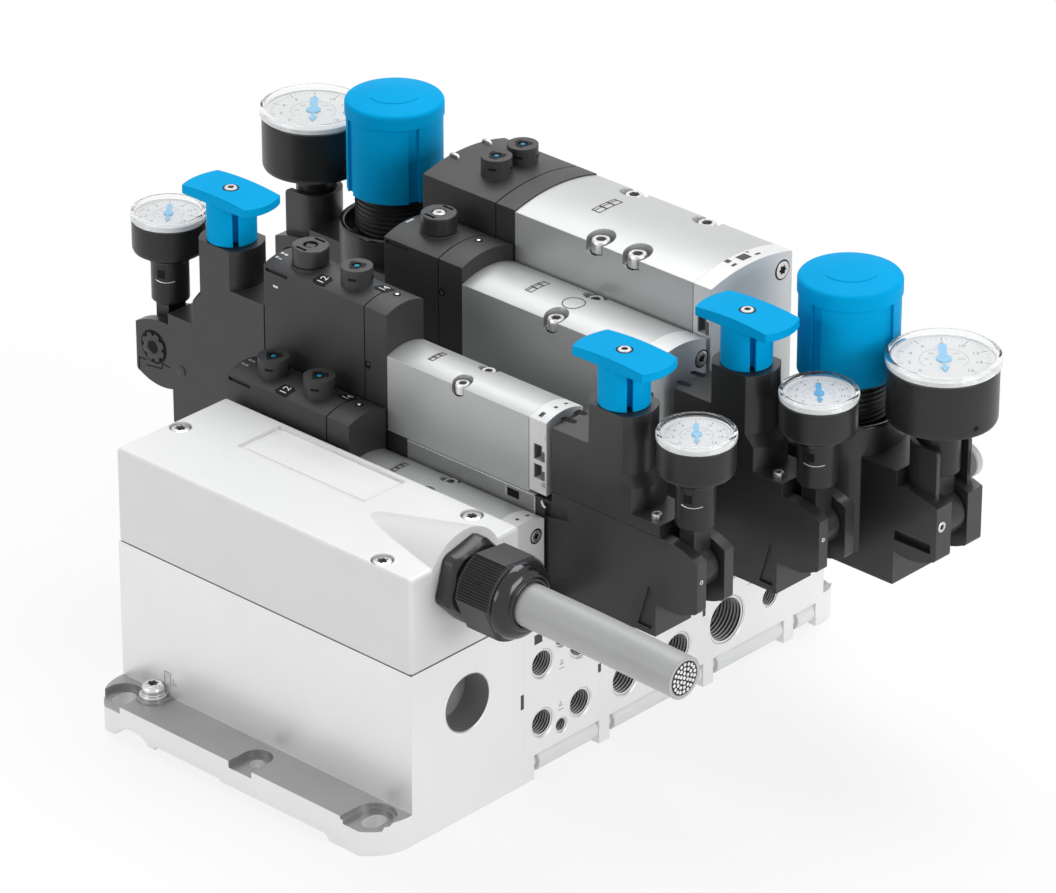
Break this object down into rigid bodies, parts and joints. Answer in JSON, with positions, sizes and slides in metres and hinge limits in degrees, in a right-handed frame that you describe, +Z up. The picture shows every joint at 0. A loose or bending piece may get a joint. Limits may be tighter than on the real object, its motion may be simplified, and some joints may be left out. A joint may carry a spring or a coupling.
{
  "type": "pneumatic valve island",
  "caption": "Row of pneumatic valves on ported sub-bases with plug-in pressure regulators, gauges, an electrical head and a multi-core cable.",
  "frame": {"origin": "centre of the electrical head's underside", "axes": "+Z up, +X towards the side with the air ports and the cable, +Y along the row from the head to the end plate"},
  "size_m": [0.334, 0.2391, 0.1699],
  "materials": {
    "cast_head": "fine matt silver paint",
    "cast_base": "bead blasted",
    "head_cover": "fine matt silver paint",
    "seal": "matt",
    "seal_plate": "matt grey",
    "gland": "satin black",
    "cable": "smooth grey sheath",
    "steel": "turned",
    "plate": "bead blasted",
    "end_cap": "satin grey",
    "valve_metal": "bead blasted",
    "black_housing": "moulded",
    "black_cap": "moulded",
    "blue_plastic": "moulded satin",
    "gauge_case": "moulded",
    "pointer": "painted",
    "spool_metal": "turned"
  },
  "bodies": {
    "root": {"head_base": "cast_head", "head_gasket": "seal", "head_cover": "head_cover", "gland_body": "gland", "gland_nut": "gland", "cable": "cable", "sub_base_1": "cast_base", "sub_base_2": "cast_base", "sub_base_3": "cast_base", "end_plate": "cast_base", "tie_rods": "steel", "blanking_plate": "seal_plate", "regulator_plate_1": "plate", "regulator_plate_2": "plate", "regulator_plate_3": "plate", "valve_end_caps": "end_cap", "valve_body_1": "valve_metal", "valve_body_2": "valve_metal", "valve_body_3": "valve_metal", "valve_body_4": "valve_metal", "pilot_1": "black_housing", "pilot_2": "black_housing", "pilot_3": "black_housing", "pilot_4": "black_housing", "regulator_1_right": "black_housing", "regulator_1_left": "black_housing", "regulator_2_right": "black_housing", "regulator_3_right": "black_housing", "regulator_3_left": "black_housing"},
    "plunger_1a": {"plunger_1a": "blue_plastic"},
    "plunger_1b": {"plunger_1b": "blue_plastic"},
    "plunger_2a": {"plunger_2a": "blue_plastic"},
    "plunger_4a": {"plunger_4a": "blue_plastic"},
    "plunger_4b": {"plunger_4b": "blue_plastic"},
    "turning_cap_2": {"turning_cap_2": "black_cap"},
    "turning_cap_3": {"turning_cap_3": "black_cap"},
    "spindle_1_right": {"spindle_1_right": "steel"},
    "knob_1_right": {"knob_1_right": "blue_plastic"},
    "gauge_1_right": {"gauge_1_right": "gauge_case"},
    "pointer_1_right": {"pointer_1_right": "pointer"},
    "spindle_1_left": {"spindle_1_left": "steel"},
    "knob_1_left": {"knob_1_left": "blue_plastic"},
    "gauge_1_left": {"gauge_1_left": "gauge_case"},
    "pointer_1_left": {"pointer_1_left": "pointer"},
    "spindle_2_right": {"spindle_2_right": "steel"},
    "knob_2_right": {"knob_2_right": "blue_plastic"},
    "gauge_2_right": {"gauge_2_right": "gauge_case"},
    "pointer_2_right": {"pointer_2_right": "pointer"},
    "spindle_3_right": {"spindle_3_right": "steel"},
    "knob_3_right": {"knob_3_right": "blue_plastic"},
    "gauge_3_right": {"gauge_3_right": "gauge_case"},
    "pointer_3_right": {"pointer_3_right": "pointer"},
    "spindle_3_left": {"spindle_3_left": "steel"},
    "knob_3_left": {"knob_3_left": "blue_plastic"},
    "gauge_3_left": {"gauge_3_left": "gauge_case"},
    "pointer_3_left": {"pointer_3_left": "pointer"},
    "spool_1": {"spool_1": "spool_metal"},
    "spool_2": {"spool_2": "spool_metal"},
    "spool_3": {"spool_3": "spool_metal"},
    "spool_4": {"spool_4": "spool_metal"}
  },
  "joints": [
    {"name": "plunger_1a_press", "type": "slide", "parent": "root", "child": "plunger_1a", "axis": [0, 0, -1], "range_m": [0, 0.0012], "stiffness_N_per_m": 500},
    {"name": "plunger_1b_press", "type": "slide", "parent": "root", "child": "plunger_1b", "axis": [0, 0, -1], "range_m": [0, 0.0012], "stiffness_N_per_m": 500},
    {"name": "plunger_2a_press", "type": "slide", "parent": "root", "child": "plunger_2a", "axis": [0, 0, -1], "range_m": [0, 0.0012], "stiffness_N_per_m": 500},
    {"name": "plunger_4a_press", "type": "slide", "parent": "root", "child": "plunger_4a", "axis": [0, 0, -1], "range_m": [0, 0.0012], "stiffness_N_per_m": 500},
    {"name": "plunger_4b_press", "type": "slide", "parent": "root", "child": "plunger_4b", "axis": [0, 0, -1], "range_m": [0, 0.0012], "stiffness_N_per_m": 500},
    {"name": "turning_cap_2_turn", "type": "hinge", "parent": "root", "child": "turning_cap_2", "pos_m": [-0.0574, 0.05575, 0.14585], "axis": [0, 0, 1], "range_deg": [0, 90]},
    {"name": "turning_cap_3_turn", "type": "hinge", "parent": "root", "child": "turning_cap_3", "pos_m": [-0.044, 0.10575, 0.14585], "axis": [0, 0, 1], "range_deg": [0, 90]},
    {"name": "spindle_1_right_turn", "type": "hinge", "parent": "root", "child": "spindle_1_right", "pos_m": [0.0888, 0.05575, 0.1428], "axis": [0, 0, 1], "range_deg": [-900, 900]},
    {"name": "knob_1_right_lift", "type": "slide", "parent": "spindle_1_right", "child": "knob_1_right", "axis": [0, 0, 1], "range_m": [0, 0.003]},
    {"name": "gauge_1_right_swivel", "type": "hinge", "parent": "root", "child": "gauge_1_right", "pos_m": [0.1209, 0.05575, 0.0923], "axis": [0, 1, 0], "range_deg": [0, 90]},
    {"name": "pointer_1_right_turn", "type": "hinge", "parent": "gauge_1_right", "child": "pointer_1_right", "pos_m": [0.1209, 0.05575, 0.1398], "axis": [0, 0, -1], "range_deg": [0, 270]},
    {"name": "spindle_1_left_turn", "type": "hinge", "parent": "root", "child": "spindle_1_left", "pos_m": [-0.0964, 0.05575, 0.1428], "axis": [0, 0, 1], "range_deg": [-900, 900]},
    {"name": "knob_1_left_lift", "type": "slide", "parent": "spindle_1_left", "child": "knob_1_left", "axis": [0, 0, 1], "range_m": [0, 0.003]},
    {"name": "gauge_1_left_swivel", "type": "hinge", "parent": "root", "child": "gauge_1_left", "pos_m": [-0.1285, 0.05575, 0.0923], "axis": [0, -1, 0], "range_deg": [0, 90]},
    {"name": "pointer_1_left_turn", "type": "hinge", "parent": "gauge_1_left", "child": "pointer_1_left", "pos_m": [-0.1285, 0.05575, 0.1398], "axis": [0, 0, -1], "range_deg": [0, 270]},
    {"name": "spindle_2_right_turn", "type": "hinge", "parent": "root", "child": "spindle_2_right", "pos_m": [0.0988, 0.10575, 0.1428], "axis": [0, 0, 1], "range_deg": [-900, 900]},
    {"name": "knob_2_right_lift", "type": "slide", "parent": "spindle_2_right", "child": "knob_2_right", "axis": [0, 0, 1], "range_m": [0, 0.003]},
    {"name": "gauge_2_right_swivel", "type": "hinge", "parent": "root", "child": "gauge_2_right", "pos_m": [0.1309, 0.10575, 0.0923], "axis": [0, 1, 0], "range_deg": [0, 90]},
    {"name": "pointer_2_right_turn", "type": "hinge", "parent": "gauge_2_right", "child": "pointer_2_right", "pos_m": [0.1309, 0.10575, 0.1398], "axis": [0, 0, -1], "range_deg": [0, 270]},
    {"name": "spindle_3_right_turn", "type": "hinge", "parent": "root", "child": "spindle_3_right", "pos_m": [0.1141, 0.14075, 0.13295], "axis": [0, 0, 1], "range_deg": [-900, 900]},
    {"name": "knob_3_right_lift", "type": "slide", "parent": "spindle_3_right", "child": "knob_3_right", "axis": [0, 0, 1], "range_m": [0, 0.003]},
    {"name": "gauge_3_right_swivel", "type": "hinge", "parent": "root", "child": "gauge_3_right", "pos_m": [0.1553, 0.14075, 0.0923], "axis": [0, 1, 0], "range_deg": [0, 90]},
    {"name": "pointer_3_right_turn", "type": "hinge", "parent": "gauge_3_right", "child": "pointer_3_right", "pos_m": [0.1553, 0.14075, 0.14825], "axis": [0, 0, -1], "range_deg": [0, 270]},
    {"name": "spindle_3_left_turn", "type": "hinge", "parent": "root", "child": "spindle_3_left", "pos_m": [-0.0995, 0.14075, 0.13295], "axis": [0, 0, 1], "range_deg": [-900, 900]},
    {"name": "knob_3_left_lift", "type": "slide", "parent": "spindle_3_left", "child": "knob_3_left", "axis": [0, 0, 1], "range_m": [0, 0.003]},
    {"name": "gauge_3_left_swivel", "type": "hinge", "parent": "root", "child": "gauge_3_left", "pos_m": [-0.1407, 0.14075, 0.0923], "axis": [0, -1, 0], "range_deg": [0, 90]},
    {"name": "pointer_3_left_turn", "type": "hinge", "parent": "gauge_3_left", "child": "pointer_3_left", "pos_m": [-0.1407, 0.14075, 0.14825], "axis": [0, 0, -1], "range_deg": [0, 270]},
    {"name": "spool_1_shift", "type": "slide", "parent": "root", "child": "spool_1", "axis": [1, 0, 0], "range_m": [0, 0.004]},
    {"name": "spool_2_shift", "type": "slide", "parent": "root", "child": "spool_2", "axis": [1, 0, 0], "range_m": [0, 0.004]},
    {"name": "spool_3_shift", "type": "slide", "parent": "root", "child": "spool_3", "axis": [1, 0, 0], "range_m": [0, 0.004], "stiffness_N_per_m": 1500},
    {"name": "spool_4_shift", "type": "slide", "parent": "root", "child": "spool_4", "axis": [1, 0, 0], "range_m": [0, 0.004]}
  ]
}
